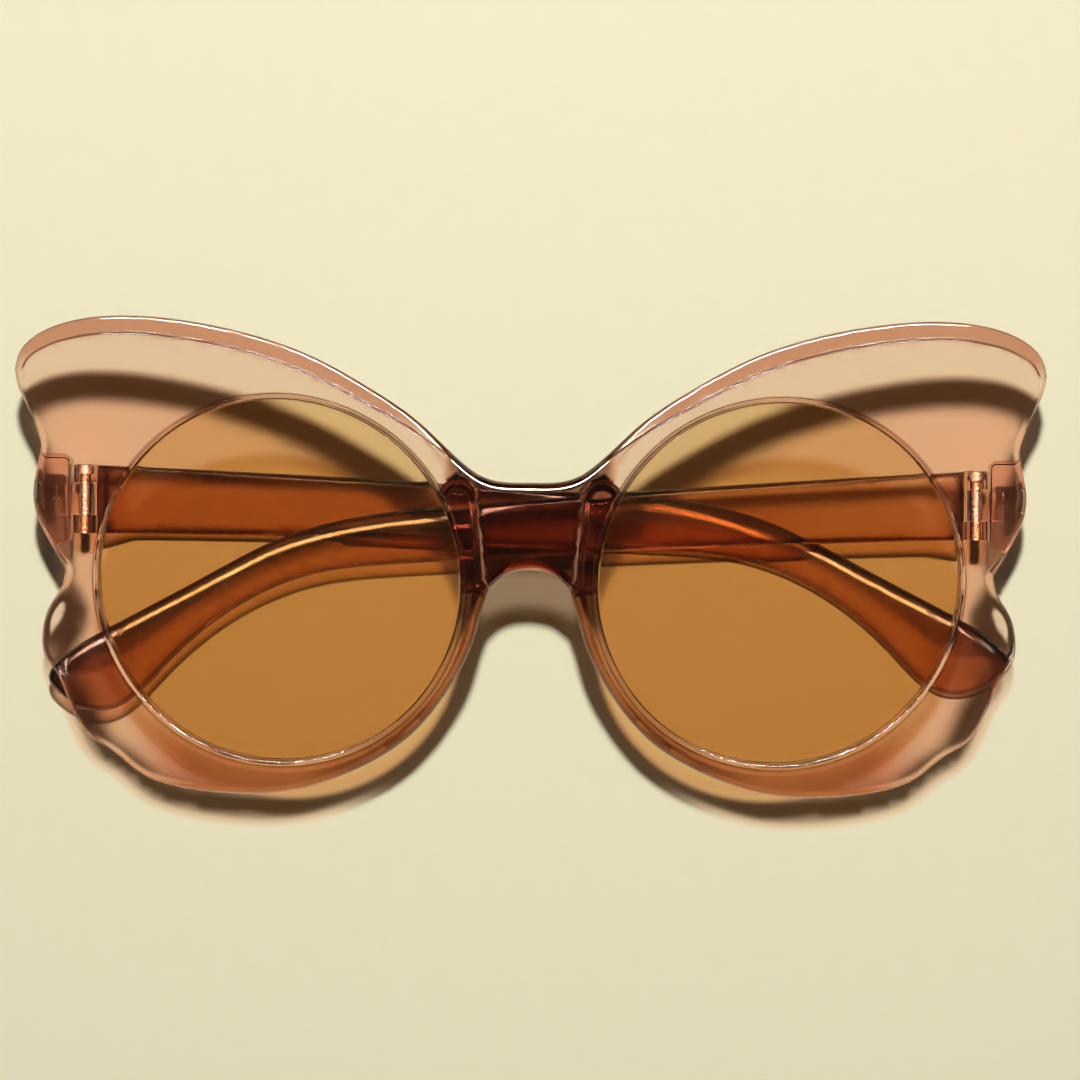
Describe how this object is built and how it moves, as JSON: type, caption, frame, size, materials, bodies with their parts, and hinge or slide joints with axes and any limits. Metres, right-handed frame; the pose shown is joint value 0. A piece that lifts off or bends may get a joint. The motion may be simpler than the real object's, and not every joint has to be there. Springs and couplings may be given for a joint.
{
  "type": "butterfly sunglasses",
  "caption": "Butterfly sunglasses with a clear tinted moulded front, round amber lenses and temples that fold on screwed hinges.",
  "frame": {"origin": "on the table under the middle of the front, with the glasses folded and lying face up", "axes": "+X to the wearer's left, +Y to the brow side, +Z the way the face of the front looks"},
  "size_m": [0.15, 0.0697, 0.0205],
  "materials": {
    "front_plastic": "clear rose-brown moulded polycarbonate, glossy",
    "lens_tint": "amber tinted transparent lens, glossy",
    "temple_plastic": "clear rose-brown moulded polycarbonate, glossy",
    "screw_steel": "plain steel, bright"
  },
  "bodies": {
    "front": {"frame_front": "front_plastic", "lens_left": "lens_tint", "lens_right": "lens_tint"},
    "temple_left": {"temple_left": "temple_plastic", "hinge_screw_left": "screw_steel"},
    "temple_right": {"temple_right": "temple_plastic", "hinge_screw_right": "screw_steel"}
  },
  "joints": [
    {"name": "temple_left_hinge", "type": "hinge", "parent": "front", "child": "temple_left", "pos_m": [0.0653, 0.00875, 0.0068], "axis": [0, -1, 0], "range_deg": [0, 95]},
    {"name": "temple_right_hinge", "type": "hinge", "parent": "front", "child": "temple_right", "pos_m": [-0.0653, 0.00875, 0.00535], "axis": [0, 1, 0], "range_deg": [0, 95]}
  ]
}
